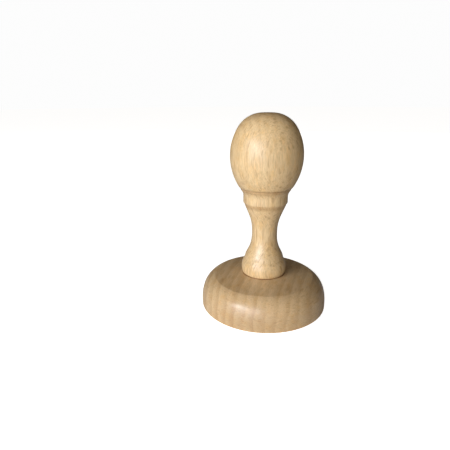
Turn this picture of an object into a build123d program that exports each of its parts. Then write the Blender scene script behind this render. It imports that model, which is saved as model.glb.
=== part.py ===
from build123d import *
from math import asin, cos, degrees, radians, sin, tan
import os

# Turned wooden stamp mount. +Z is up, the origin is the middle of the sole, and all sizes are
# in millimetres. Each turned piece is the outline of one half, revolved about Z. Angles on an
# outline are in degrees, measured up from the outward radial direction.

# Base: a turned disc with a rounded rim, a low dome inside a crease, and a flat seat.
BASE_DIAMETER = 60.0
BASE_HEIGHT = 16.0
SOLE_EDGE_RADIUS = 0.5
RIM_SIDE_HEIGHT = 3.0
RIM_SIDE_RADIUS = 18.0
RIM_SIDE_TURN = 17.0
CREASE_SLOPE = 23.0
DOME_RISE = 1.6
DOME_BULGE = 0.12
SEAT_MARGIN = 0.3

# Handle: knob, collar, waist, ankle and foot in one length of wood.
HANDLE_LENGTH = 74.4
KNOB_HEIGHT = 32.35
KNOB_DIAMETER = 32.8
KNOB_FLANK_RADIUS = 26.0
KNOB_SIDE_RADIUS = 24.0
KNOB_SIDE_TURN = 31.1
KNOB_CROWN_RADIUS = 12.55
KNOB_CROWN_TURN = 56.0
GROOVE_DEPTH = 0.2
GROOVE_WIDTH = 1.15
CHIN_SLOPE = 35.0
CHIN_RADIUS = 4.0
COLLAR_DIAMETER = 20.45
COLLAR_WIDTH = 6.35
COLLAR_EDGE_RADIUS = 0.35
COVE_WIDTH = 0.9
COVE_STEP = 0.65
NECK_CONE_SLOPE = 22.5
NECK_CURVE_RADIUS = 20.0
WAIST_DIAMETER = 11.9
WAIST_HEIGHT = 18.6
WAIST_FLARE_RADIUS = 15.8
WAIST_FLARE_TURN = 26.0
ANKLE_TURN = 6.0
FOOT_DIAMETER = 21.4
FOOT_WIDEST_HEIGHT = 2.8
FOOT_TUCK = 0.55
FOOT_BEAD_RADIUS = 8.0
FOOT_BEAD_TURN = 35.0

# Wood screw: pan head with a cross recess, up through the base into the handle.
SCREW_LENGTH = 35.0
SCREW_DIAMETER = 4.5
SCREW_CORE_DIAMETER = 3.0
SCREW_SHANK_LENGTH = 9.5
SCREW_POINT_LENGTH = 4.0
SCREW_PITCH = 2.2
THREAD_ROOT_WIDTH = 1.0
THREAD_CREST_WIDTH = 0.15
THREAD_SINK = 0.1
SCREW_HEAD_DIAMETER = 9.0
SCREW_HEAD_HEIGHT = 3.0
SCREW_HEAD_EDGE_RADIUS = 1.4
RECESS_WIDTH = 1.1
RECESS_SPAN = 4.6
RECESS_DEPTH = 1.8

# Washer under the screw's head.
WASHER_DIAMETER = 12.0
WASHER_THICKNESS = 1.0
WASHER_EDGE = 0.15

# Plug that closes the counterbore in the sole.
COUNTERBORE_DIAMETER = 15.0
COUNTERBORE_DEPTH = 8.6
PLUG_THICKNESS = 4.4
PLUG_EDGE = 0.1

# Glue lines and clearances.
PLUG_GLUE_GAP = 0.2
PLUG_GLUE_RECESS = 0.1
FOOT_GLUE_THICKNESS = 0.1
FOOT_GLUE_SQUEEZE = 0.15
SHANK_CLEARANCE = 0.25
THREAD_CLEARANCE = 0.05
POINT_CLEARANCE = 1.5

BASE_RADIUS = BASE_DIAMETER / 2
COUNTERBORE_RADIUS = COUNTERBORE_DIAMETER / 2
PLUG_RADIUS = COUNTERBORE_RADIUS - PLUG_GLUE_GAP
SCREW_RADIUS = SCREW_DIAMETER / 2
SCREW_CORE_RADIUS = SCREW_CORE_DIAMETER / 2
SHANK_HOLE_RADIUS = SCREW_RADIUS + SHANK_CLEARANCE
FOOT_CONTACT_RADIUS = FOOT_DIAMETER / 2 - FOOT_TUCK
HANDLE_BOTTOM = BASE_HEIGHT + FOOT_GLUE_THICKNESS
HANDLE_TOP = HANDLE_BOTTOM + HANDLE_LENGTH
GROOVE_LOW = HANDLE_TOP - KNOB_HEIGHT - GROOVE_WIDTH
COLLAR_LOW = GROOVE_LOW - COLLAR_WIDTH
NECK_TOP = COLLAR_LOW - COVE_WIDTH
HEAD_SEAT = COUNTERBORE_DEPTH - WASHER_THICKNESS
HEAD_LOW = HEAD_SEAT - SCREW_HEAD_HEIGHT
THREAD_START = HEAD_SEAT + SCREW_SHANK_LENGTH
SCREW_TIP = HEAD_SEAT + SCREW_LENGTH
THREAD_END = SCREW_TIP - SCREW_POINT_LENGTH


def at(radius, height):
    """A point of an outline, in the XZ plane."""
    return Vector(radius, 0, height)


def heading(angle):
    """A unit direction in the XZ plane."""
    return Vector(cos(radians(angle)), 0, sin(radians(angle)))


def arc_about(centre, radius, start, end):
    """An arc in the XZ plane about a centre, between two angles."""
    places = [centre + heading(angle) * radius for angle in (start, (start + end) / 2, end)]
    return ThreePointArc(*places)


def turned(outline):
    """The solid that a closed outline makes when it is turned about Z."""
    return revolve(Face(Wire(outline)), Axis.Z)


def pillar(radius, low, high):
    """A plain cylinder on Z between two heights."""
    blank = Cylinder(radius, high - low, align=(Align.CENTER, Align.CENTER, Align.MIN))
    return Pos(0, 0, low) * blank


def rim_outline():
    """Side and shoulder arcs that meet smoothly, from the top of the straight side to the crease."""
    crease_angle = 90 - CREASE_SLOPE
    side_rise = RIM_SIDE_RADIUS * sin(radians(RIM_SIDE_TURN))
    shoulder_rise = BASE_HEIGHT - DOME_RISE - RIM_SIDE_HEIGHT - side_rise
    shoulder_radius = shoulder_rise / (sin(radians(crease_angle)) - sin(radians(RIM_SIDE_TURN)))
    side_centre = at(BASE_RADIUS - RIM_SIDE_RADIUS, RIM_SIDE_HEIGHT)
    shoulder_centre = side_centre + heading(RIM_SIDE_TURN) * (RIM_SIDE_RADIUS - shoulder_radius)
    return [
        arc_about(side_centre, RIM_SIDE_RADIUS, 0, RIM_SIDE_TURN),
        arc_about(shoulder_centre, shoulder_radius, RIM_SIDE_TURN, crease_angle),
    ]


def base_disc():
    """A turned disc, counterbored from the sole, with the screw's hole through its web."""
    rim = rim_outline()
    crease = rim[-1] @ 1
    seat_edge = at(FOOT_CONTACT_RADIUS + FOOT_GLUE_SQUEEZE + SEAT_MARGIN, BASE_HEIGHT)
    dome_middle = (crease + seat_edge) / 2 + at(0, DOME_BULGE)
    sole_corner = at(BASE_RADIUS - SOLE_EDGE_RADIUS, SOLE_EDGE_RADIUS)
    blank = turned([
        Line(at(0, 0), at(BASE_RADIUS - SOLE_EDGE_RADIUS, 0)),
        arc_about(sole_corner, SOLE_EDGE_RADIUS, -90, 0),
        Line(at(BASE_RADIUS, SOLE_EDGE_RADIUS), rim[0] @ 0),
        *rim,
        ThreePointArc(crease, dome_middle, seat_edge),
        Line(seat_edge, at(0, BASE_HEIGHT)),
        Line(at(0, BASE_HEIGHT), at(0, 0)),
    ])
    counterbore = pillar(COUNTERBORE_RADIUS, 0, COUNTERBORE_DEPTH)
    return blank - counterbore - pillar(SHANK_HOLE_RADIUS, 0, BASE_HEIGHT)


def foot_outline():
    """The rounded lower edge and the bead above it, from the contact edge up."""
    edge_radius = (FOOT_WIDEST_HEIGHT**2 + FOOT_TUCK**2) / (2 * FOOT_TUCK)
    edge_turn = degrees(asin(FOOT_WIDEST_HEIGHT / edge_radius))
    widest = at(FOOT_DIAMETER / 2, HANDLE_BOTTOM + FOOT_WIDEST_HEIGHT)
    return [
        arc_about(widest - at(edge_radius, 0), edge_radius, -edge_turn, 0),
        arc_about(widest - at(FOOT_BEAD_RADIUS, 0), FOOT_BEAD_RADIUS, 0, FOOT_BEAD_TURN),
    ]


def waist_outline():
    """The hollow of the waist, a flare below it and a curve above it that opens into a cone."""
    waist = at(WAIST_DIAMETER / 2, HANDLE_BOTTOM + WAIST_HEIGHT)
    flare = arc_about(waist + at(WAIST_FLARE_RADIUS, 0), WAIST_FLARE_RADIUS, 180 + WAIST_FLARE_TURN, 180)
    slope = radians(NECK_CONE_SLOPE)
    curve_width = NECK_CURVE_RADIUS * (1 - cos(slope))
    curve_height = NECK_CURVE_RADIUS * sin(slope)
    neck_radius = COLLAR_DIAMETER / 2 - COVE_STEP
    curve_end_height = NECK_TOP - (neck_radius - waist.X - curve_width) / tan(slope)
    curve_low = at(waist.X, curve_end_height - curve_height)
    centre = curve_low + at(NECK_CURVE_RADIUS, 0)
    curve = arc_about(centre, NECK_CURVE_RADIUS, 180, 180 - NECK_CONE_SLOPE)
    return [flare, Line(waist, curve_low), curve, Line(curve @ 1, at(neck_radius, NECK_TOP))]


def collar_outline(knob_low):
    """A cove, the collar's band, the hollow chin above it and the groove under the knob."""
    radius = COLLAR_DIAMETER / 2
    neck = at(radius - COVE_STEP, NECK_TOP)
    cove_top = at(radius - COLLAR_EDGE_RADIUS, COLLAR_LOW)
    band_low = at(radius, COLLAR_LOW + COLLAR_EDGE_RADIUS)
    slope = tan(radians(CHIN_SLOPE))
    groove_low = at(knob_low.X - GROOVE_WIDTH * slope, GROOVE_LOW)
    groove_middle = (groove_low + knob_low) / 2
    groove_floor = groove_middle - heading(-CHIN_SLOPE) * GROOVE_DEPTH
    chin_width = CHIN_RADIUS * (1 - cos(radians(CHIN_SLOPE)))
    chin_end_height = GROOVE_LOW - (groove_low.X - radius - chin_width) / slope
    band_top = at(radius, chin_end_height - CHIN_RADIUS * sin(radians(CHIN_SLOPE)))
    chin = arc_about(band_top + at(CHIN_RADIUS, 0), CHIN_RADIUS, 180, 180 - CHIN_SLOPE)
    return [
        Line(neck, cove_top),
        arc_about(cove_top + at(0, COLLAR_EDGE_RADIUS), COLLAR_EDGE_RADIUS, -90, 0),
        Line(band_low, band_top),
        chin,
        Line(chin @ 1, groove_low),
        ThreePointArc(groove_low, groove_floor, knob_low),
    ]


def knob_outline():
    """Flank, side and crown arcs, each tangent to the last, then the small flat on the top."""
    flat_angle = KNOB_SIDE_TURN + KNOB_CROWN_TURN
    crown_rise = KNOB_CROWN_RADIUS * sin(radians(flat_angle))
    to_crown = heading(KNOB_SIDE_TURN) * (KNOB_SIDE_RADIUS - KNOB_CROWN_RADIUS)
    widest = at(KNOB_DIAMETER / 2, HANDLE_TOP - crown_rise - to_crown.Z)
    side_centre = widest - at(KNOB_SIDE_RADIUS, 0)
    drop = widest.Z - (HANDLE_TOP - KNOB_HEIGHT)
    low_angle = -degrees(asin(drop / KNOB_FLANK_RADIUS))
    crown = arc_about(side_centre + to_crown, KNOB_CROWN_RADIUS, KNOB_SIDE_TURN, flat_angle)
    return [
        arc_about(widest - at(KNOB_FLANK_RADIUS, 0), KNOB_FLANK_RADIUS, low_angle, 0),
        arc_about(side_centre, KNOB_SIDE_RADIUS, 0, KNOB_SIDE_TURN),
        crown,
        Line(crown @ 1, at(0, HANDLE_TOP)),
    ]


def handle():
    """The turned handle, bored for the screw's shank, core, thread and point."""
    foot = foot_outline()
    waist = waist_outline()
    knob = knob_outline()
    leave = heading(90 + ANKLE_TURN)
    arrive = heading(90 + WAIST_FLARE_TURN)
    ankle = Spline(foot[-1] @ 1, waist[0] @ 0, tangents=(leave, arrive))
    blank = turned([
        Line(at(0, HANDLE_BOTTOM), foot[0] @ 0),
        *foot,
        ankle,
        *waist,
        *collar_outline(knob[0] @ 0),
        *knob,
        Line(at(0, HANDLE_TOP), at(0, HANDLE_BOTTOM)),
    ])
    shank_bore = pillar(SCREW_RADIUS + THREAD_CLEARANCE, HANDLE_BOTTOM, THREAD_START)
    core_bore = pillar(SCREW_CORE_RADIUS + THREAD_CLEARANCE, THREAD_START, SCREW_TIP + POINT_CLEARANCE)
    return blank - shank_bore - core_bore - thread(THREAD_CLEARANCE)


def thread(growth):
    """The screw's helical ridge, grown by a clearance on every side to cut its path in the wood."""
    root = SCREW_CORE_RADIUS - THREAD_SINK
    crest = SCREW_RADIUS + growth
    half_root = THREAD_ROOT_WIDTH / 2 + growth
    half_crest = THREAD_CREST_WIDTH / 2 + growth
    length = THREAD_END - THREAD_START - THREAD_ROOT_WIDTH
    path = Pos(0, 0, THREAD_START + THREAD_ROOT_WIDTH / 2) * Helix(SCREW_PITCH, length, root)
    corners = [(root, -half_root), (crest, -half_crest), (crest, half_crest), (root, half_root)]
    height = THREAD_START + THREAD_ROOT_WIDTH / 2
    section = Face(Wire.make_polygon([at(r, height + z) for r, z in corners]))
    return sweep(section, path=path, is_frenet=True)


def fixing_screw():
    """Pan head, cross recess, smooth shank, threaded core and a turned point."""
    head = pillar(SCREW_HEAD_DIAMETER / 2, HEAD_LOW, HEAD_SEAT)
    head = fillet(head.edges().sort_by(Axis.Z)[0], SCREW_HEAD_EDGE_RADIUS)
    shank = pillar(SCREW_RADIUS, HEAD_SEAT, THREAD_START)
    core = pillar(SCREW_CORE_RADIUS, THREAD_START, THREAD_END)
    point = Pos(0, 0, THREAD_END) * Cone(
        SCREW_CORE_RADIUS, 0, SCREW_POINT_LENGTH, align=(Align.CENTER, Align.CENTER, Align.MIN)
    )
    slot = Pos(0, 0, HEAD_LOW) * Box(
        RECESS_SPAN, RECESS_WIDTH, RECESS_DEPTH, align=(Align.CENTER, Align.CENTER, Align.MIN)
    )
    return head + shank + core + point + thread(0) - slot - Rot(0, 0, 90) * slot


def washer():
    """A flat steel ring between the screw's head and the base's web."""
    disc = pillar(WASHER_DIAMETER / 2, HEAD_SEAT, COUNTERBORE_DEPTH)
    disc = chamfer(disc.edges(), WASHER_EDGE)
    return disc - pillar(SHANK_HOLE_RADIUS, HEAD_SEAT, COUNTERBORE_DEPTH)


def sole_plug():
    """A face-grain plug, flush with the sole."""
    plug = pillar(PLUG_RADIUS, 0, PLUG_THICKNESS)
    return chamfer(plug.edges().sort_by(Axis.Z)[-1], PLUG_EDGE)


def plug_glue_ring():
    """The set glue between the plug and the wall of its hole."""
    outer = pillar(COUNTERBORE_RADIUS, PLUG_GLUE_RECESS, PLUG_THICKNESS - PLUG_EDGE)
    return outer - pillar(PLUG_RADIUS, PLUG_GLUE_RECESS, PLUG_THICKNESS - PLUG_EDGE)


def foot_glue_film():
    """The set glue under the foot, squeezed out a little way all round."""
    film = pillar(FOOT_CONTACT_RADIUS + FOOT_GLUE_SQUEEZE, BASE_HEIGHT, HANDLE_BOTTOM)
    return film - pillar(SHANK_HOLE_RADIUS, BASE_HEIGHT, HANDLE_BOTTOM)


PIECES = (
    base_disc,
    handle,
    fixing_screw,
    washer,
    sole_plug,
    plug_glue_ring,
    foot_glue_film,
)

os.makedirs("parts", exist_ok=True)
for piece in PIECES:
    export_step(piece(), f"parts/{piece.__name__}.step")
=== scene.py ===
"""A turned beech stamp mount: the looks of its wood, lacquer, glue and steel, on a plain stage."""

import math
from typing import NamedTuple

import bmesh
import bpy
from mathutils import Matrix, Vector, noise


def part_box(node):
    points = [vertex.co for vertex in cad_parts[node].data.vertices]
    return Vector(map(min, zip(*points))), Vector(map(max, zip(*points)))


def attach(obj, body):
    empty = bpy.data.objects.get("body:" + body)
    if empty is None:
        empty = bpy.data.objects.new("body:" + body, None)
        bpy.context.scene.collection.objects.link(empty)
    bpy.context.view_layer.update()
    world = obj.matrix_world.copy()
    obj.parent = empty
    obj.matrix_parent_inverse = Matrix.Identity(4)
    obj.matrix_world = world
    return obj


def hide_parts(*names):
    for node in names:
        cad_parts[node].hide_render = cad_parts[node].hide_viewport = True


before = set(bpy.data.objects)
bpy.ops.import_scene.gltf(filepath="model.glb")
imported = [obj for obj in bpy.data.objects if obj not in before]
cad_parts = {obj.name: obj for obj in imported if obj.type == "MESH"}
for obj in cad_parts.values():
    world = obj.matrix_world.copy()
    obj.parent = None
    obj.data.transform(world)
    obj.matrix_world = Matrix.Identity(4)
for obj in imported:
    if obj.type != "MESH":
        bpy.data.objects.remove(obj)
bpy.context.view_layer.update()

bl_info = {
    "name": "Turned stamp mount",
    "version": (1, 0, 0),
    "blender": (4, 5, 0),
    "location": "3D View > Sidebar > Stamp mount",
    "description": "Builds the beech base, handle, plug and glue of a stamp mount, and its stage",
    "category": "Object",
}

MM = 0.001
BODY = "root"
ON_AXIS = 1e-7
BORE_MARGIN = 1.1
SAME_LEVEL = 0.005 * MM
SOLE_CENTRE = 1 * MM


# Settings ---------------------------------------------------------------------------------


def length(name, description, default, **limits):
    """A length setting in metres."""
    return bpy.props.FloatProperty(
        name=name, description=description, default=default, unit="LENGTH", precision=5, **limits
    )


def amount(name, description, default, low=0.0, high=1.0):
    """A plain number setting with limits."""
    return bpy.props.FloatProperty(
        name=name, description=description, default=default, min=low, max=high
    )


def colour(name, description, default):
    """A linear colour setting."""
    return bpy.props.FloatVectorProperty(
        name=name, description=description, default=default, subtype="COLOR", size=3, min=0, max=1
    )


def angle(name, description, degrees):
    """An angle setting, given in degrees."""
    return bpy.props.FloatProperty(
        name=name, description=description, default=math.radians(degrees), subtype="ANGLE"
    )


class StampTurningSettings(bpy.types.PropertyGroup):
    """How finely the turned pieces are cut."""

    segments: bpy.props.IntProperty(
        name="Segments", description="Sides round a turned piece's cage", default=128, min=24
    )
    refinement: bpy.props.IntProperty(
        name="Refinement", description="Subdivision levels on a cage", default=1, min=0, max=3
    )
    corner: angle("Corner", "A turn in the outline that counts as a corner", 9.0)
    easing: length("Easing", "How far sanding has eased each corner", 0.22 * MM, min=0)
    flat_step: length("Flat step", "Widest ring on a flat or straight stretch", 2.0 * MM, min=0)
    glue_bead: length("Glue bead", "Width of the glue squeezed out at the foot", 0.28 * MM, min=0)
    glue_unevenness: amount("Glue unevenness", "How much the glue bead's width varies", 0.55)


class StampBeechSettings(bpy.types.PropertyGroup):
    """The figure and colour of the beech."""

    earlywood: colour("Earlywood", "Pale wood of the early season", (0.765, 0.550, 0.305))
    latewood: colour("Latewood", "Darker wood that ends each ring", (0.545, 0.325, 0.150))
    ray: colour("Ray", "Brown of the ray flecks", (0.330, 0.150, 0.050))
    base_rings: length("Base rings", "Width of a growth ring in the base", 4.4 * MM, min=0)
    handle_rings: length("Handle rings", "Width of a growth ring in the handle", 3.1 * MM, min=0)
    base_grain: angle("Base grain", "Turn of the base's grain away from Y, seen from above", 13.0)
    handle_grain: angle("Handle grain", "Turn of the handle's bark side about the axis", -24.0)
    plug_grain: angle("Plug grain", "Turn of the plug's grain away from the base's", 5.0)


class StampLacquerSettings(bpy.types.PropertyGroup):
    """The clear satin lacquer, and the heights of the painted shade lines."""

    coat: amount("Coat", "How much lacquer shows on the surface", 0.75)
    worn_coat: amount("Worn coat", "How much of the lacquer is left where the hand rests", 0.50)
    coat_roughness: amount("Coat roughness", "Dullness of the lacquer", 0.26)
    wood_roughness: amount("Wood roughness", "Dullness of the wood below the lacquer", 0.44)
    bare_roughness: amount("Bare roughness", "Dullness of the sanded sole", 0.72)
    # Heights of the painted shade lines: in the groove over the collar and in the cove under it.
    groove_level: length("Groove level", "Height of the settled line over the collar", 57.35 * MM)
    cove_level: length("Cove level", "Height of the settled line under the collar", 49.6 * MM)
    hand_level: length("Hand level", "Height above which the hand has worn the lacquer", 60.0 * MM)


class StampStageSettings(bpy.types.PropertyGroup):
    """Floor, lights and camera."""

    floor_colour: colour("Floor", "Colour of the floor", (0.74, 0.73, 0.71))
    floor_gap: length("Floor gap", "Air between the sole and the floor", 0.05 * MM, min=0)
    window_power: amount("Window", "Power of the window light in watts", 4.5, 0.0, 1000.0)
    glint_power: amount("Glint", "Power of the window's bright pane in watts", 1.8, 0.0, 1000.0)
    front_power: amount("Front", "Power of the front fill in watts", 1.8, 0.0, 1000.0)
    back_power: amount("Back", "Power of the back fill in watts", 1.1, 0.0, 1000.0)
    under_power: amount("Under", "Power of the light below the sole in watts", 0.11, 0.0, 1000.0)
    camera_distance: length("Camera distance", "From the axis to the camera", 179.84 * MM)
    camera_height: length("Camera height", "From the sole to the camera", 98.56 * MM)
    camera_turn: angle("Camera turn", "Turn to the left", 5.97)
    camera_tilt: angle("Camera tilt", "Tilt down", 18.27)
    camera_roll: angle("Camera roll", "Roll about the view", -0.26)
    lens: bpy.props.FloatProperty(
        name="Lens", description="Focal length in millimetres on a 36 mm sensor", default=32.0
    )


# Turned pieces ------------------------------------------------------------------------------


def turned_points(node):
    """The (radius, height) pairs at which a CAD node's skin has vertices, each once."""
    places = {
        (round(math.hypot(v.co.x, v.co.y), 6), round(v.co.z, 6))
        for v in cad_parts[node].data.vertices
    }
    return sorted(places, key=lambda place: (place[1], -place[0]))


def merged(points, least=0.02 * MM):
    """The outline without points that lie almost on the one before."""
    kept = [points[0]]
    for point in points[1:]:
        if math.dist(point, kept[-1]) > least:
            kept.append(point)
    return kept


def turn_at(before, point, after):
    """How far an outline turns at a point."""
    incoming = Vector(point) - Vector(before)
    outgoing = Vector(after) - Vector(point)
    return abs(incoming.angle_signed(outgoing, 0.0))


def towards(point, other, reach):
    """The place at most reach away from a point on its way to another, within a third of it."""
    gap = math.dist(other, point)
    return tuple(Vector(point).lerp(Vector(other), min(reach, gap / 3) / gap))


def eased(outline, closed, settings):
    """The outline with a holding point each side of every corner, so that subdivision rounds
    the corner only that far, and with long straight stretches divided."""
    count = len(outline)
    shaped = []
    for i, point in enumerate(outline):
        before = outline[i - 1] if closed or i else None
        after = outline[(i + 1) % count] if closed or i < count - 1 else None
        if before and after and turn_at(before, point, after) > settings.corner:
            shaped.append(towards(point, before, settings.easing))
            shaped.append(point)
            shaped.append(towards(point, after, settings.easing))
        else:
            shaped.append(point)
    divided = []
    last = len(shaped) if closed else len(shaped) - 1
    for i in range(last):
        start, end = shaped[i], shaped[(i + 1) % len(shaped)]
        parts = max(1, math.ceil(math.dist(start, end) / settings.flat_step))
        divided += [tuple(Vector(start).lerp(Vector(end), k / parts)) for k in range(parts)]
    return divided if closed else divided + [shaped[-1]]


def lathe(name, outline, closed, segments, reshape=None):
    """A mesh of quads turned about Z. An open outline starts and ends on the axis. reshape may
    move a point, given its radius, height and angle."""
    mesh = bmesh.new()
    rings = []
    for radius, height in outline:
        if radius < ON_AXIS:
            rings.append([mesh.verts.new((0, 0, height))])
            continue
        ring = []
        for k in range(segments):
            turn = 2 * math.pi * k / segments
            r, z = reshape(radius, height, turn) if reshape else (radius, height)
            ring.append(mesh.verts.new((r * math.cos(turn), r * math.sin(turn), z)))
        rings.append(ring)
    pairs = list(zip(rings, rings[1:]))
    if closed:
        pairs.append((rings[-1], rings[0]))
    for lower, upper in pairs:
        for k in range(segments):
            corners = [
                lower[k % len(lower)],
                lower[(k + 1) % len(lower)],
                upper[(k + 1) % len(upper)],
                upper[k % len(upper)],
            ]
            mesh.faces.new(list(dict.fromkeys(corners)))
    bmesh.ops.recalc_face_normals(mesh, faces=mesh.faces)
    data = bpy.data.meshes.new(name)
    mesh.to_mesh(data)
    mesh.free()
    data.polygons.foreach_set("use_smooth", [True] * len(data.polygons))
    piece = bpy.data.objects.new(name, data)
    bpy.context.scene.collection.objects.link(piece)
    return piece


def refine(piece, levels):
    """Subdivides a cage smoothly."""
    smooth = piece.modifiers.new("refine", "SUBSURF")
    smooth.levels = levels
    smooth.render_levels = levels


def fit(piece, node, material):
    """Puts a finished piece in the place of its CAD node."""
    piece.data.materials.clear()
    piece.data.materials.append(material)
    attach(piece, BODY)
    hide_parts(node)


def base_outline(settings):
    """Sole, counterbore, screw hole, seat, dome and rim, as one closed outline."""
    points = turned_points("base_disc")
    seat_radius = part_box("foot_glue_film")[1].x
    inner = [p for p in points if p[0] < seat_radius]
    outer = [p for p in points if p[0] >= seat_radius]
    return eased(merged(inner + outer[::-1]), True, settings)


def handle_outline(settings):
    """The bore from its closed end down, then the skin from the foot up to the knob's top."""
    points = turned_points("handle")
    low, top = points[0][1], points[-1][1]
    bore_radius = min(r for r, z in points if z == low)
    skin = [p for p in points if p[0] > bore_radius * BORE_MARGIN]
    bore_top = max(z for r, z in points if r <= bore_radius * BORE_MARGIN)
    ends = [(0.0, bore_top), (bore_radius, bore_top), (bore_radius, low)]
    return eased(ends + merged(skin) + [(0.0, top)], False, settings)


# Materials ----------------------------------------------------------------------------------


def add(tree, kind, inputs=None, **options):
    """A node with its options set and its inputs linked or set."""
    made = tree.nodes.new(kind)
    for name, value in options.items():
        setattr(made, name, value)
    for name, value in (inputs or {}).items():
        feed(tree, made.inputs[name], value)
    return made


def feed(tree, socket, value):
    """Links a socket to another, or sets its value."""
    if isinstance(value, bpy.types.NodeSocket):
        tree.links.new(value, socket)
    elif hasattr(value, "__len__") and len(value) == 3 and socket.type == "RGBA":
        socket.default_value = (*value, 1.0)
    else:
        socket.default_value = value


def maths(tree, operation, *values, clamp=False):
    """The result of a Math node."""
    made = add(tree, "ShaderNodeMath", operation=operation, use_clamp=clamp)
    for i, value in enumerate(values):
        feed(tree, made.inputs[i], value)
    return made.outputs[0]


def ramp(tree, value, low, high, start=0.0, end=1.0):
    """A smooth step from start to end as value goes from low to high."""
    made = add(
        tree,
        "ShaderNodeMapRange",
        {"Value": value, "From Min": low, "From Max": high, "To Min": start, "To Max": end},
        interpolation_type="SMOOTHSTEP",
    )
    return made.outputs["Result"]


def blend(tree, mode, factor, first, second):
    """A mix of two colours."""
    made = add(tree, "ShaderNodeMix", data_type="RGBA", blend_type=mode)
    feed(tree, made.inputs[0], factor)
    feed(tree, made.inputs[6], first)
    feed(tree, made.inputs[7], second)
    return made.outputs[2]


def scaled(tree, vector, size, shift=0.0):
    """A vector divided by a size along each axis, and shifted."""
    inputs = {
        "Vector": vector,
        "Scale": tuple(1 / side for side in size),
        "Location": (shift, shift * 1.7, shift * 0.6),
    }
    return add(tree, "ShaderNodeMapping", inputs).outputs[0]


def clouds(tree, vector, detail=2.0, roughness=0.5):
    """Noise from about 0 to 1."""
    inputs = {"Vector": vector, "Scale": 1.0, "Detail": detail, "Roughness": roughness}
    return add(tree, "ShaderNodeTexNoise", inputs).outputs["Fac"]


def spindles(tree, vector, cell, size, share, shift):
    """Scattered spindles, size cells in radius at most, one in each of a share of the cells."""
    cells = add(
        tree,
        "ShaderNodeTexVoronoi",
        {"Vector": scaled(tree, vector, cell, shift), "Scale": 1.0, "Randomness": 1.0},
    )
    lottery = add(tree, "ShaderNodeSeparateColor", {"Color": cells.outputs["Color"]})
    drawn = ramp(tree, lottery.outputs["Red"], 1 - share, 1 - share + 0.15)
    girth = maths(tree, "MULTIPLY_ADD", lottery.outputs["Green"], size * 0.6, size * 0.6)
    inside = maths(tree, "SUBTRACT", 1.0, maths(tree, "DIVIDE", cells.outputs["Distance"], girth))
    return maths(tree, "MULTIPLY", ramp(tree, inside, 0.0, 0.45), drawn)


def group_tree(name, inputs, outputs):
    """A new shader node group with named sockets, and its input and output nodes."""
    tree = bpy.data.node_groups.new(name, "ShaderNodeTree")
    for label, kind, default in inputs:
        socket = tree.interface.new_socket(label, in_out="INPUT", socket_type=kind)
        if default is not None:
            socket.default_value = default
    for label, kind in outputs:
        tree.interface.new_socket(label, in_out="OUTPUT", socket_type=kind)
    entry = tree.nodes.new("NodeGroupInput")
    leave = tree.nodes.new("NodeGroupOutput")
    return tree, entry.outputs, leave.inputs


FLOAT, VECTOR, COLOUR = "NodeSocketFloat", "NodeSocketVector", "NodeSocketColor"

# How large each feature of the wood is in millimetres: from pith to bark, across, and along
# the grain.
RING_WANDER = (12, 12, 45)
FIBRE = (0.34, 0.34, 4.2)
STRAND = (0.8, 0.8, 26)
PATCH = (9, 9, 22)
MOTTLE = (3.2, 3.2, 5.5)
SHORT_RAY = (2.2, 0.66, 9.5)
FINE_RAY = (1.5, 0.46, 6.5)
LONG_RAY = (1.1, 0.5, 30)
PORE = (0.17, 0.17, 1.5)

# What the wood's colour is multiplied by, at full strength.
MOTTLE_TINT = (0.97, 0.86, 0.68)
END_GRAIN_TINT = (0.62, 0.52, 0.42)
# Brown of the painted shade in the grooves and at the foot's joint.
PAINTED_SHADE_TINT = (0.45, 0.30, 0.18)
SOAKED_TINT = (0.62, 0.42, 0.25)


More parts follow.
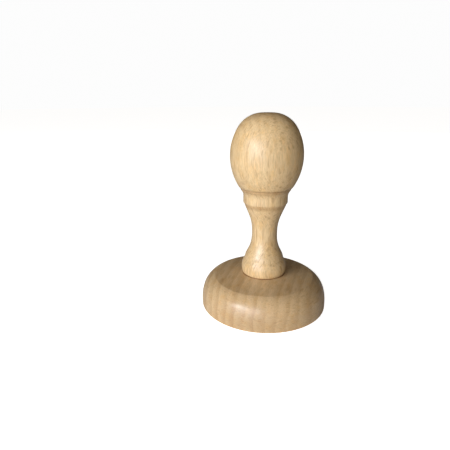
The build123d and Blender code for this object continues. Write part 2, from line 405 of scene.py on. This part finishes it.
def beech_figure():
    """Growth rings, fibres, ray flecks and pores of a block of beech. Place is in millimetres in
    the wood's own axes: X from pith to bark, Y across, Z along the grain."""
    tree, entry, leave = group_tree(
        "Beech figure",
        [
            ("Place", VECTOR, None),
            ("Ring width", FLOAT, 3.0),
            ("Pith distance", FLOAT, 60.0),
            ("Ring contrast", FLOAT, 0.6),
            ("Ray strength", FLOAT, 0.6),
            ("Fibre strength", FLOAT, 0.3),
            ("Earlywood", COLOUR, None),
            ("Latewood", COLOUR, None),
            ("Ray colour", COLOUR, None),
            ("Tint", COLOUR, None),
        ],
        [("Colour", COLOUR), ("Rays", FLOAT), ("Pores", FLOAT), ("Height", FLOAT)],
    )
    place = entry["Place"]
    axes = add(tree, "ShaderNodeSeparateXYZ", {"Vector": place}).outputs
    wander = maths(tree, "SUBTRACT", clouds(tree, scaled(tree, place, RING_WANDER), 3.0), 0.5)
    depth = maths(tree, "ADD", axes["X"], entry["Pith distance"])
    depth = maths(tree, "MULTIPLY_ADD", wander, 5.5, depth)
    across = maths(tree, "POWER", axes["Y"], 2.0)
    radius = maths(tree, "SQRT", maths(tree, "MULTIPLY_ADD", depth, depth, across))
    years = maths(tree, "DIVIDE", radius, entry["Ring width"])
    season = maths(tree, "FRACT", years)
    year_number = maths(tree, "FLOOR", years)
    year = add(tree, "ShaderNodeTexWhiteNoise", {"W": year_number}, noise_dimensions="1D")
    rise, fall = ramp(tree, season, 0.15, 0.80), ramp(tree, season, 0.86, 1.0, 1, 0)
    late = maths(tree, "MULTIPLY", rise, fall)
    strength = maths(tree, "MULTIPLY_ADD", year.outputs["Value"], 0.5, 0.6)
    late = maths(tree, "MULTIPLY", late, maths(tree, "MULTIPLY", strength, entry["Ring contrast"]))
    wood = blend(tree, "MIX", late, entry["Earlywood"], entry["Latewood"])

    fibre = clouds(tree, scaled(tree, place, FIBRE, 3.1), 3.0, 0.6)
    strand = clouds(tree, scaled(tree, place, STRAND, 5.3), 2.0, 0.5)
    patch = clouds(tree, scaled(tree, place, PATCH, 7.7), 2.0)
    tone = maths(tree, "MULTIPLY_ADD", fibre, entry["Fibre strength"], 1.0)
    tone = maths(tree, "SUBTRACT", tone, maths(tree, "MULTIPLY", entry["Fibre strength"], 0.5))
    tone = maths(tree, "MULTIPLY", tone, maths(tree, "MULTIPLY_ADD", strand, 0.16, 0.92))
    tone = maths(tree, "MULTIPLY", tone, maths(tree, "MULTIPLY_ADD", patch, 0.20, 0.90))
    grey = add(tree, "ShaderNodeCombineColor", {"Red": tone, "Green": tone, "Blue": tone})
    wood = blend(tree, "MULTIPLY", 1.0, wood, grey.outputs[0])
    wood = blend(tree, "MULTIPLY", 1.0, wood, entry["Tint"])
    mottle = ramp(tree, clouds(tree, scaled(tree, place, MOTTLE, 12.9), 3.0, 0.6), 0.42, 0.72)
    wood = blend(tree, "MULTIPLY", maths(tree, "MULTIPLY", mottle, 0.65), wood, MOTTLE_TINT)

    short = spindles(tree, place, SHORT_RAY, 0.42, 0.60, 1.3)
    fine = spindles(tree, place, FINE_RAY, 0.44, 0.66, 5.9)
    lines = ramp(tree, clouds(tree, scaled(tree, place, LONG_RAY, 9.1), 1.0), 0.66, 0.76)
    strong = maths(tree, "MAXIMUM", short, lines)
    rays = maths(tree, "MAXIMUM", maths(tree, "MULTIPLY", fine, 0.55), strong)
    pores = spindles(tree, place, PORE, 0.42, 0.80, 2.2)
    wood = blend(tree, "MIX", maths(tree, "MULTIPLY", pores, 0.16), wood, entry["Ray colour"])
    stained = maths(tree, "MULTIPLY", rays, entry["Ray strength"])
    wood = blend(tree, "MIX", stained, wood, entry["Ray colour"])

    height = maths(tree, "MULTIPLY_ADD", rays, -0.6, maths(tree, "MULTIPLY", pores, -0.4))
    height = maths(tree, "MULTIPLY_ADD", fibre, 0.5, height)
    feed(tree, leave["Colour"], wood)
    feed(tree, leave["Rays"], rays)
    feed(tree, leave["Pores"], pores)
    feed(tree, leave["Height"], height)
    return tree


def painted_shade_line():
    """A soft line at one height: painted shade in a turned groove or at the foot's joint."""
    tree, entry, leave = group_tree(
        "Settled line",
        [("Level", FLOAT, 0.0), ("Line level", FLOAT, 0.0), ("Line width", FLOAT, 0.5)],
        [("Mask", FLOAT)],
    )
    away = maths(tree, "ABSOLUTE", maths(tree, "SUBTRACT", entry["Level"], entry["Line level"]))
    share = maths(tree, "DIVIDE", away, entry["Line width"])
    feed(tree, leave["Mask"], ramp(tree, share, 0.0, 1.0, 1.0, 0.0))
    return tree


def handling_wear():
    """Uneven gloss and faint marks that hands leave on a finish."""
    tree, entry, leave = group_tree(
        "Handling wear",
        [("Place", VECTOR, None)],
        [("Dulling", FLOAT), ("Ripple", FLOAT)],
    )
    smudge = clouds(tree, scaled(tree, entry["Place"], (6, 6, 9), 4.4), 3.0)
    ripple = clouds(tree, scaled(tree, entry["Place"], (1.6, 1.6, 1.6), 8.8), 2.0)
    feed(tree, leave["Dulling"], ramp(tree, smudge, 0.35, 0.75))
    feed(tree, leave["Ripple"], ripple)
    return tree


def plating():
    """Dull zinc plating: a faint spangle, fine scratches and a warm passivation tint."""
    tree, entry, leave = group_tree(
        "Zinc plating",
        [("Place", VECTOR, None), ("Metal", COLOUR, None), ("Tint", COLOUR, None)],
        [("Colour", COLOUR), ("Roughness", FLOAT), ("Height", FLOAT)],
    )
    spangle = clouds(tree, scaled(tree, entry["Place"], (0.9, 0.9, 0.9)), 3.0)
    scratch = clouds(tree, scaled(tree, entry["Place"], (0.08, 1.4, 0.5), 2.5), 2.0, 0.7)
    share = ramp(tree, spangle, 0.3, 0.7)
    feed(tree, leave["Colour"], blend(tree, "MIX", share, entry["Metal"], entry["Tint"]))
    feed(tree, leave["Roughness"], maths(tree, "MULTIPLY_ADD", spangle, 0.25, 0.25))
    feed(tree, leave["Height"], scratch)
    return tree


GROUPS = {
    "Beech figure": beech_figure,
    "Settled line": painted_shade_line,
    "Handling wear": handling_wear,
    "Zinc plating": plating,
}


def use_group(tree, name, inputs):
    """One of the shared groups, built once and placed with its own values."""
    shared = bpy.data.node_groups.get(name) or GROUPS[name]()
    made = tree.nodes.new("ShaderNodeGroup")
    made.node_tree = shared
    for label, value in inputs.items():
        feed(tree, made.inputs[label], value)
    return made.outputs


def new_material(name):
    """An empty node material, its Principled shader and its output."""
    material = bpy.data.materials.new(name)
    material.use_nodes = True
    tree = material.node_tree
    tree.nodes.clear()
    shader = tree.nodes.new("ShaderNodeBsdfPrincipled")
    output = tree.nodes.new("ShaderNodeOutputMaterial")
    tree.links.new(shader.outputs[0], output.inputs[0])
    return material, tree, shader


def raise_surface(tree, shader, height, strength, distance):
    """Bumps a shader's normal by a height."""
    inputs = {"Height": height, "Strength": strength, "Distance": distance}
    feed(tree, shader.inputs["Normal"], add(tree, "ShaderNodeBump", inputs).outputs[0])


def object_place(tree):
    """The surface point in millimetres, and the surface normal, in the object's own frame."""
    source = add(tree, "ShaderNodeTexCoord").outputs
    in_mm = (1 / MM,) * 3
    place = add(tree, "ShaderNodeMapping", {"Vector": source["Object"], "Scale": in_mm})
    return place.outputs[0], source["Normal"]


def wood_axes(tree, vector, turn, upright):
    """A vector in the wood's axes: grain along Z when upright, else flat, turned about Z."""
    inputs = {"Vector": vector, "Angle": turn}
    turned = add(tree, "ShaderNodeVectorRotate", inputs, rotation_type="Z_AXIS")
    if upright:
        return turned.outputs[0]
    parts = add(tree, "ShaderNodeSeparateXYZ", {"Vector": turned.outputs[0]}).outputs
    laid = add(tree, "ShaderNodeCombineXYZ", {"X": parts["X"], "Y": parts["Z"], "Z": parts["Y"]})
    return laid.outputs[0]


def wood_material(name, look):
    """A beech finish. look gives the grain's turn, whether it stands upright, the ring width and
    pith distance in millimetres, the contrasts, the levels of the painted shade lines, and the
    bare side."""
    beech = bpy.context.scene.stamp_beech
    lacquer = bpy.context.scene.stamp_lacquer
    material, tree, shader = new_material(name)
    place, normal = object_place(tree)
    wood_place = wood_axes(tree, place, look["turn"], look["upright"])
    facing = wood_axes(tree, normal, look["turn"], look["upright"])
    faces = add(tree, "ShaderNodeSeparateXYZ", {"Vector": facing}).outputs
    quarter = ramp(tree, maths(tree, "ABSOLUTE", faces["Y"]), 0.55, 0.95)
    end = ramp(tree, maths(tree, "ABSOLUTE", faces["Z"]), 0.70, 0.98)
    strength = ramp(tree, quarter, 0, 1, look["rays"], look["rays"] * 0.85)
    figure = use_group(
        tree,
        "Beech figure",
        {
            "Place": wood_place,
            "Ring width": look["ring_width"],
            "Pith distance": look["pith"],
            "Ring contrast": look["contrast"],
            "Ray strength": strength,
            "Fibre strength": look["fibre"],
            "Earlywood": tuple(beech.earlywood),
            "Latewood": tuple(beech.latewood),
            "Ray colour": tuple(beech.ray),
            "Tint": look["tint"],
        },
    )
    darkened = maths(tree, "MULTIPLY", end, look["end_darkening"])
    tint = blend(tree, "MULTIPLY", darkened, figure["Colour"], END_GRAIN_TINT)
    level = add(tree, "ShaderNodeSeparateXYZ", {"Vector": place}).outputs["Z"]
    # Painted shade: soft dark lines at given heights, in the grooves and at the foot's joint with
    # the base.
    for line_level, width, depth in look["lines"]:
        inputs = {"Level": level, "Line level": line_level, "Line width": width}
        mask = use_group(tree, "Settled line", inputs)
        painted_shade = maths(tree, "MULTIPLY", mask["Mask"], depth)
        tint = blend(tree, "MULTIPLY", painted_shade, tint, PAINTED_SHADE_TINT)
    wear = use_group(tree, "Handling wear", {"Place": place})
    bare = 1.0 if look["all_bare"] else ramp(tree, level, 0.15, 0.45, 1.0, 0.0)
    if look["ring_stain"]:
        flat = add(tree, "ShaderNodeVectorMath", {0: place, 1: (1, 1, 0)}, operation="MULTIPLY")
        reach = add(tree, "ShaderNodeVectorMath", {0: flat.outputs[0]}, operation="LENGTH")
        edge = maths(tree, "SUBTRACT", reach.outputs["Value"], look["ring_stain"])
        edge = maths(tree, "ABSOLUTE", edge)
        soak = maths(tree, "MULTIPLY", ramp(tree, edge, 0.0, 0.9, 0.45, 0.0), bare)
        tint = blend(tree, "MULTIPLY", soak, tint, SOAKED_TINT)
    feed(tree, shader.inputs["Base Color"], tint)
    dull = maths(tree, "MULTIPLY_ADD", figure["Rays"], 0.10, lacquer.wood_roughness)
    dull = maths(tree, "MULTIPLY_ADD", end, 0.08, dull)
    if look["all_bare"]:
        dull = maths(tree, "MULTIPLY_ADD", figure["Rays"], 0.1, lacquer.bare_roughness)
        feed(tree, shader.inputs["Roughness"], dull)
        shader.inputs["Coat Weight"].default_value = 0.0
    else:
        spread = maths(tree, "MULTIPLY", bare, lacquer.bare_roughness - lacquer.wood_roughness)
        feed(tree, shader.inputs["Roughness"], maths(tree, "ADD", dull, spread))
        lost = maths(tree, "MULTIPLY_ADD", wear["Dulling"], 0.25, bare)
        kept = maths(tree, "SUBTRACT", 1.0, lost, clamp=True)
        low, high = look["held_above"] - 4, look["held_above"] + 4
        held = ramp(tree, level, low, high, 1.0, lacquer.worn_coat)
        kept = maths(tree, "MULTIPLY", kept, held)
        feed(tree, shader.inputs["Coat Weight"], maths(tree, "MULTIPLY", kept, lacquer.coat))
    shader.inputs["Coat Roughness"].default_value = lacquer.coat_roughness
    shader.inputs["Coat IOR"].default_value = 1.5
    relief = maths(tree, "MULTIPLY_ADD", wear["Ripple"], 0.5, figure["Height"])
    raise_surface(tree, shader, relief, look["relief"], 0.05 * MM)
    return material


def glue_material():
    """Set wood glue: amber, dull, with small bubbles and dust in it."""
    material, tree, shader = new_material("set_wood_glue")
    place, _ = object_place(tree)
    cloud = clouds(tree, scaled(tree, place, (1.2, 1.2, 0.5)), 3.0)
    fleck = clouds(tree, scaled(tree, place, (0.12, 0.12, 0.12), 6.0), 2.0)
    dark, pale = (0.20, 0.095, 0.035), (0.34, 0.17, 0.065)
    amber = blend(tree, "MIX", ramp(tree, cloud, 0.3, 0.7), dark, pale)
    feed(tree, shader.inputs["Base Color"], amber)
    feed(tree, shader.inputs["Roughness"], maths(tree, "MULTIPLY_ADD", cloud, 0.25, 0.35))
    raise_surface(tree, shader, fleck, 0.4, 0.03 * MM)
    return material


def zinc_material(name, metal, tint):
    """Zinc-plated steel for the hidden fasteners."""
    material, tree, shader = new_material(name)
    place, _ = object_place(tree)
    plated = use_group(tree, "Zinc plating", {"Place": place, "Metal": metal, "Tint": tint})
    feed(tree, shader.inputs["Base Color"], plated["Colour"])
    feed(tree, shader.inputs["Roughness"], plated["Roughness"])
    shader.inputs["Metallic"].default_value = 1.0
    raise_surface(tree, shader, plated["Height"], 0.3, 0.02 * MM)
    return material


def floor_material():
    """Pale matt paper on top, clear from below and to light, so that the sole can be seen."""
    stage = bpy.context.scene.stamp_stage
    material, tree, shader = new_material("pale_paper")
    place, _ = object_place(tree)
    fibre = clouds(tree, scaled(tree, place, (2.5, 2.5, 2.5)), 3.0)
    plain = tuple(stage.floor_colour)
    paler = tuple(min(1.0, c * 1.01) for c in plain)
    feed(tree, shader.inputs["Base Color"], blend(tree, "MIX", fibre, plain, paler))
    shader.inputs["Roughness"].default_value = 0.9
    path = add(tree, "ShaderNodeLightPath").outputs
    glow = blend(tree, "MIX", path["Is Camera Ray"], (0, 0, 0), (0.94, 0.94, 0.94))
    feed(tree, shader.inputs["Emission Color"], glow)
    shader.inputs["Emission Strength"].default_value = 1.0
    clear = tree.nodes.new("ShaderNodeBsdfTransparent")
    side = tree.nodes.new("ShaderNodeNewGeometry")
    mixed = tree.nodes.new("ShaderNodeMixShader")
    through = maths(tree, "MAXIMUM", side.outputs["Backfacing"], path["Is Shadow Ray"])
    tree.links.new(through, mixed.inputs[0])
    tree.links.new(shader.outputs[0], mixed.inputs[1])
    tree.links.new(clear.outputs[0], mixed.inputs[2])
    output = next(n for n in tree.nodes if n.type == "OUTPUT_MATERIAL")
    tree.links.new(mixed.outputs[0], output.inputs[0])
    return material


# Operators ------------------------------------------------------------------------------------


class STAMP_OT_turn_base(bpy.types.Operator):
    """Turn the base from its CAD outline and give it lacquered face-grain beech"""

    bl_idname = "stamp.turn_base"
    bl_label = "Turn the base"

    def execute(self, context):
        scene = context.scene
        turning, beech = scene.stamp_turning, scene.stamp_beech
        piece = lathe("base_turned", base_outline(turning), True, turning.segments)
        refine(piece, turning.refinement)
        look = {
            "turn": beech.base_grain,
            "upright": False,
            "ring_width": beech.base_rings / MM,
            "pith": 84.0,
            "contrast": 0.44,
            "rays": 0.26,
            "fibre": 0.58,
            "tint": (0.865, 0.855, 0.83),
            "end_darkening": 0.25,
            "lines": [],
            "all_bare": False,
            "held_above": 100.0,
            "ring_stain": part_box("plug_glue_ring")[1].x / MM,
            "relief": 0.35,
        }
        fit(piece, "base_disc", wood_material("beech_base", look))
        return {"FINISHED"}


class STAMP_OT_turn_handle(bpy.types.Operator):
    """Turn the handle from its CAD outline and give it lacquered upright beech"""

    bl_idname = "stamp.turn_handle"
    bl_label = "Turn the handle"

    def execute(self, context):
        scene = context.scene
        turning, beech, lacquer = scene.stamp_turning, scene.stamp_beech, scene.stamp_lacquer
        outline = handle_outline(turning)
        piece = lathe("handle_turned", outline, False, turning.segments)
        refine(piece, turning.refinement)
        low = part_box("handle")[0].z / MM
        look = {
            "turn": beech.handle_grain,
            "upright": True,
            "ring_width": beech.handle_rings / MM,
            "pith": 55.0,
            "contrast": 0.20,
            "rays": 0.42,
            "fibre": 0.75,
            "tint": (0.975, 0.985, 0.94),
            "end_darkening": 0.30,
            # Painted shade lines: at the foot's joint with the base, in the groove over the collar
            # and in the cove under it (level and width in millimetres, then strength).
            "lines": [
                (low, 0.8, 0.7),
                (lacquer.groove_level / MM, 1.7, 0.46),
                (lacquer.cove_level / MM, 1.8, 0.42),
            ],
            "all_bare": False,
            "held_above": lacquer.hand_level / MM,
            "ring_stain": 0.0,
            "relief": 0.35,
        }
        fit(piece, "handle", wood_material("beech_handle", look))
        return {"FINISHED"}


class STAMP_OT_fit_plug(bpy.types.Operator):
    """Turn the sole's plug and the ring of set glue round it"""

    bl_idname = "stamp.fit_plug"
    bl_label = "Fit the plug"

    def execute(self, context):
        scene = context.scene
        turning, beech = scene.stamp_turning, scene.stamp_beech
        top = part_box("sole_plug")[1]
        points = [p for p in turned_points("sole_plug") if p[0] > SOLE_CENTRE]
        outline = eased([(0.0, 0.0), *points, (0.0, top.z)], False, turning)
        plug = lathe("plug_turned", outline, False, turning.segments)
        refine(plug, turning.refinement)
        look = {
            "turn": beech.base_grain + beech.plug_grain,
            "upright": False,
            "ring_width": beech.base_rings * 0.8 / MM,
            "pith": 47.0,
            "contrast": 0.36,
            "rays": 0.26,
            "fibre": 0.50,
            "tint": (0.92, 0.93, 0.95),
            "end_darkening": 0.2,
            "lines": [],
            "all_bare": True,
            "ring_stain": 0.0,
            "relief": 0.35,
        }
        fit(plug, "sole_plug", wood_material("beech_plug", look))
        low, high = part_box("plug_glue_ring")
        inner, outer = top.x, high.x

        def uneven(radius, height, turn):
            dip = noise.noise(Vector((math.cos(turn) * 2.3, math.sin(turn) * 2.3, 0.4)))
            sunk = max(0.0, dip) * low.z if height < low.z * 1.5 else 0.0
            return radius, height + sunk

        ring = [(inner, low.z), (outer, low.z), (outer, high.z), (inner, high.z)]
        section = eased(ring, True, turning)
        glue = lathe("plug_glue", section, True, turning.segments, uneven)
        fit(glue, "plug_glue_ring", shared_glue())
        return {"FINISHED"}


def shared_glue():
    """The one glue finish, made on first use."""
    return bpy.data.materials.get("set_wood_glue") or glue_material()


class STAMP_OT_squeeze_foot_glue(bpy.types.Operator):
    """Lay the film of glue under the foot with the uneven bead that squeezed out"""

    bl_idname = "stamp.squeeze_foot_glue"
    bl_label = "Squeeze the foot's glue"

    def execute(self, context):
        turning = context.scene.stamp_turning
        low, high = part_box("foot_glue_film")
        hole = min(r for r, _ in turned_points("foot_glue_film"))
        foot = [r for r, z in turned_points("handle") if z < high.z + SAME_LEVEL]
        contact = max(foot)
        bead = turning.glue_bead
        section = [
            (hole, low.z),
            (contact, low.z),
            (contact + bead, low.z),
            (contact + bead * 0.55, low.z + bead * 0.3),
            (contact + bead * 0.42, high.z + bead * 0.5),
            (contact + bead * 0.10, high.z + bead * 0.25),
            (contact, high.z),
            (hole, high.z),
        ]

        def uneven(radius, height, turn):
            if radius <= contact:
                return radius, height
            ripple = noise.noise(Vector((math.cos(turn) * 2.6, math.sin(turn) * 2.6, 1.7)))
            share = 1 + turning.glue_unevenness * ripple
            return contact + (radius - contact) * share, low.z + (height - low.z) * share

        film = lathe("foot_glue", section, True, turning.segments * 2, uneven)
        fit(film, "foot_glue_film", shared_glue())
        return {"FINISHED"}


class STAMP_OT_plate_fasteners(bpy.types.Operator):
    """Give the hidden screw and washer their zinc plating"""

    bl_idname = "stamp.plate_fasteners"
    bl_label = "Plate the fasteners"

    def execute(self, context):
        finishes = {
            "fixing_screw": ("screw_steel", (0.60, 0.55, 0.42), (0.55, 0.47, 0.30)),
            "washer": ("washer_steel", (0.62, 0.62, 0.60), (0.55, 0.55, 0.54)),
        }
        for node, (slot, metal, tint) in finishes.items():
            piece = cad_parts[node]
            piece.data.materials.clear()
            piece.data.materials.append(zinc_material(f"zinc_{node}", metal, tint))
        return {"FINISHED"}


class StudioLight(NamedTuple):
    """An area light aimed at the middle of the handle. Azimuth 0 is the camera's side."""

    name: str
    azimuth: float
    elevation: float
    distance: float
    width: float
    height: float
    power: str
    tone: tuple
    mirrored: bool = True


STUDIO_LIGHTS = (
    StudioLight("sky_window", -30, 11, 0.75, 0.7, 0.6, "window_power", (0.945, 1.0, 1.14)),
    StudioLight("window_glint", -43, 23, 0.75, 0.32, 0.15, "glint_power", (1.0, 1.0, 1.0)),
    StudioLight("front_fill", -8, 5, 0.88, 0.8, 0.5, "front_power", (1.0, 0.90, 0.74)),
    StudioLight("back_fill", 176, 8, 0.9, 0.8, 0.5, "back_power", (1.0, 0.93, 0.84), False),
    StudioLight("under_fill", 0, -90, 0.2, 0.12, 0.12, "under_power", (0.92, 0.98, 1.10), False),
)
AIM = Vector((0, 0, 0.05))
FLOOR_RINGS = (0.0, 0.3, 3.0)
FLOOR_SIDES = 96


def hang(light, power):
    """Puts up one studio light."""
    lamp = bpy.data.lights.new(light.name, "AREA")
    lamp.shape = "RECTANGLE"
    lamp.size, lamp.size_y = light.width, light.height
    lamp.energy = power
    lamp.color = light.tone
    item = bpy.data.objects.new(light.name, lamp)
    a, e = math.radians(light.azimuth), math.radians(light.elevation)
    outward = Vector((math.sin(a) * math.cos(e), -math.cos(a) * math.cos(e), math.sin(e)))
    item.location = AIM + light.distance * outward
    bpy.context.scene.collection.objects.link(item)
    item.rotation_euler = (AIM - item.location).to_track_quat("-Z", "Y").to_euler()
    item.visible_camera = False
    item.visible_glossy = light.mirrored


class STAMP_OT_set_stage(bpy.types.Operator):
    """Lay the pale floor and set the lights, the surroundings and the camera"""

    bl_idname = "stamp.set_stage"
    bl_label = "Set the stage"

    def execute(self, context):
        scene = context.scene
        stage = scene.stamp_stage
        level = -stage.floor_gap
        rings = [(radius, level) for radius in FLOOR_RINGS]
        floor = lathe("floor", rings, False, FLOOR_SIDES)
        if floor.data.polygons[0].normal.z < 0:
            floor.data.flip_normals()
        floor.data.materials.append(floor_material())
        for light in STUDIO_LIGHTS:
            hang(light, getattr(stage, light.power))
        self.surroundings(scene)
        self.camera(scene, stage)
        scene.view_settings.view_transform = "Standard"
        return {"FINISHED"}

    def surroundings(self, scene):
        """White to look at, dim as a light."""
        world = bpy.data.worlds.new("surroundings")
        world.use_nodes = True
        tree = world.node_tree
        sky = tree.nodes["Background"]
        seen = add(tree, "ShaderNodeLightPath").outputs["Is Camera Ray"]
        warm, white = (1.0, 0.82, 0.56), (1.0, 1.0, 1.0)
        feed(tree, sky.inputs["Color"], blend(tree, "MIX", seen, warm, white))
        feed(tree, sky.inputs["Strength"], ramp(tree, seen, 0, 1, 0.06, 0.98))
        scene.world = world

    def camera(self, scene, stage):
        """In front and a little above, looking slightly down and to the left."""
        eye = bpy.data.cameras.new("camera")
        eye.lens = stage.lens
        eye.sensor_width = 36.0
        eye.clip_start = 0.01
        item = bpy.data.objects.new("camera", eye)
        item.location = (0, -stage.camera_distance, stage.camera_height)
        turn = Matrix.Rotation(stage.camera_turn, 4, "Z")
        tilt = Matrix.Rotation(math.pi / 2 - stage.camera_tilt, 4, "X")
        roll = Matrix.Rotation(stage.camera_roll, 4, "Z")
        item.rotation_euler = (turn @ tilt @ roll).to_euler()
        scene.collection.objects.link(item)
        scene.camera = item


OPERATORS = (
    STAMP_OT_turn_base,
    STAMP_OT_turn_handle,
    STAMP_OT_fit_plug,
    STAMP_OT_squeeze_foot_glue,
    STAMP_OT_plate_fasteners,
    STAMP_OT_set_stage,
)
SETTINGS = {
    "stamp_turning": StampTurningSettings,
    "stamp_beech": StampBeechSettings,
    "stamp_lacquer": StampLacquerSettings,
    "stamp_stage": StampStageSettings,
}


class STAMP_PT_panel(bpy.types.Panel):
    """Settings and steps of the stamp mount"""

    bl_idname = "STAMP_PT_panel"
    bl_label = "Stamp mount"
    bl_space_type = "VIEW_3D"
    bl_region_type = "UI"
    bl_category = "Stamp mount"

    def draw(self, context):
        for name, settings in SETTINGS.items():
            box = self.layout.box()
            for label in settings.__annotations__:
                box.prop(getattr(context.scene, name), label)
        for operator in OPERATORS:
            self.layout.operator(operator.bl_idname)


def register():
    for made in (*SETTINGS.values(), *OPERATORS, STAMP_PT_panel):
        bpy.utils.register_class(made)
    for name, settings in SETTINGS.items():
        setattr(bpy.types.Scene, name, bpy.props.PointerProperty(type=settings))


def unregister():
    for name in SETTINGS:
        delattr(bpy.types.Scene, name)
    for made in (STAMP_PT_panel, *reversed(OPERATORS), *reversed(tuple(SETTINGS.values()))):
        bpy.utils.unregister_class(made)


def main():
    register()
    bpy.ops.stamp.turn_base()
    bpy.ops.stamp.turn_handle()
    bpy.ops.stamp.fit_plug()
    bpy.ops.stamp.squeeze_foot_glue()
    bpy.ops.stamp.plate_fasteners()
    bpy.ops.stamp.set_stage()
    bpy.context.view_layer.update()


if __name__ == "__main__":
    main()
